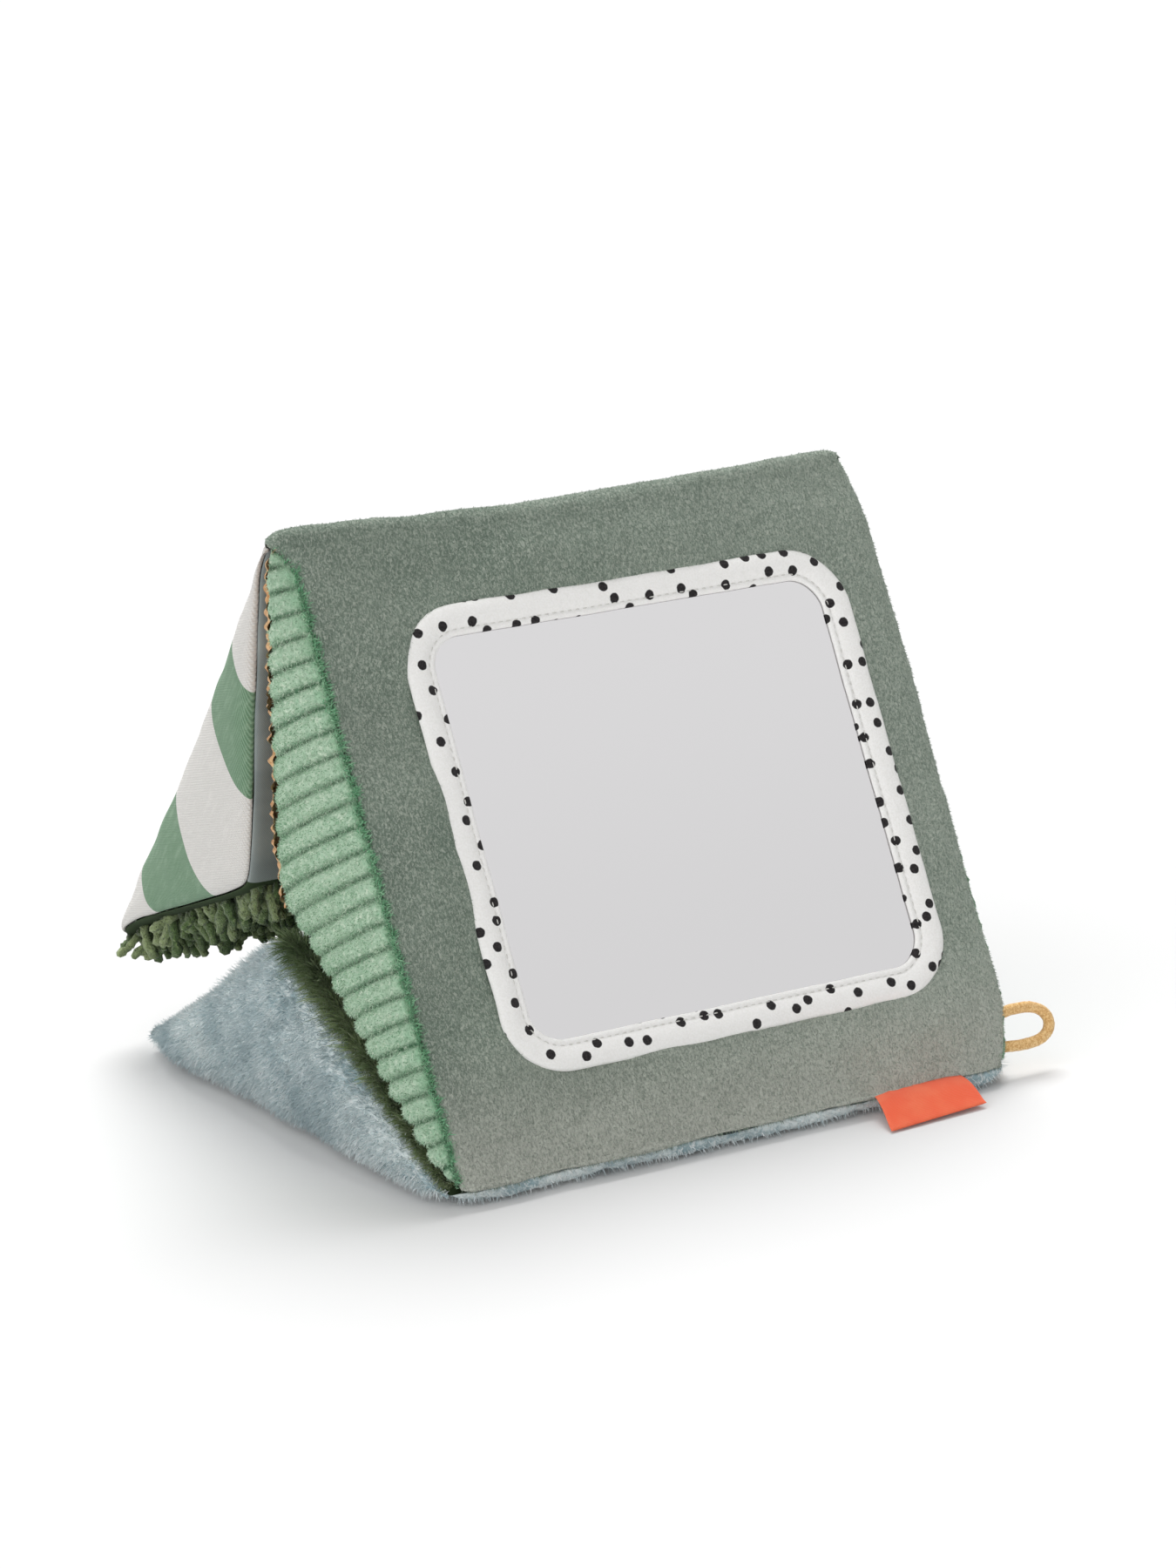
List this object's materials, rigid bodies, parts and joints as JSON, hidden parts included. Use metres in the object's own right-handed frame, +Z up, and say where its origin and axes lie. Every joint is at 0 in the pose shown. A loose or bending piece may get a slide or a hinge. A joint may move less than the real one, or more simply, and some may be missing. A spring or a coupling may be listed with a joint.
{
  "type": "baby sensory mirror",
  "caption": "Soft fold-out floor mirror: stuffed wedges hinged edge to edge stand as a triangular prism with a framed mirror, and open into a ridged mat.",
  "frame": {"origin": "centre of the base wedge's flat resting face, on the floor", "axes": "+Z up, +X along the prism to the right as seen from the mirror side, +Y away from the mirror"},
  "size_m": [0.2375, 0.2545, 0.2003],
  "materials": {
    "foam": "matte",
    "blue_plush": "matte",
    "olive_fur": "matte",
    "orange_tag": "matte",
    "sage_velour": "matte",
    "ochre_boucle": "matte",
    "mint_corduroy": "matte",
    "mirror_film": "polished",
    "backing_board": "matte",
    "dotted_cotton": "matte",
    "ochre_cord": "satin",
    "green_chenille": "matte",
    "slate_satin": "satin",
    "striped_twill": "matte"
  },
  "bodies": {
    "base": {"base_foam_core": "foam", "base_sole_panel": "blue_plush", "base_fur_panel": "olive_fur", "base_rear_panel": "blue_plush", "base_left_end": "blue_plush", "base_right_end": "blue_plush", "floor_hinge_roll": "blue_plush", "side_tag": "orange_tag"},
    "front": {"front_foam_core": "foam", "front_velour_panel": "sage_velour", "front_boucle_panel": "ochre_boucle", "front_under_panel": "mint_corduroy", "front_left_end": "mint_corduroy", "front_right_end": "mint_corduroy", "apex_hinge_roll": "sage_velour", "mirror_sheet": "mirror_film", "mirror_backing_board": "backing_board", "mirror_dotted_frame": "dotted_cotton", "elastic_loop": "ochre_cord"},
    "back": {"back_foam_core": "foam", "back_outer_panel": "sage_velour", "back_chenille_panel": "green_chenille", "back_satin_panel": "slate_satin", "back_left_end": "striped_twill", "back_right_end": "striped_twill"}
  },
  "joints": [
    {"name": "floor_hinge", "type": "hinge", "parent": "base", "child": "front", "pos_m": [0, -0.1065, 0.006], "axis": [1, 0, 0], "range_deg": [0, 115.8], "deforming": ["side_tag"]},
    {"name": "apex_hinge", "type": "hinge", "parent": "front", "child": "back", "pos_m": [0, -0.0138, 0.19777], "axis": [1, 0, 0], "range_deg": [0, 112.5]}
  ]
}
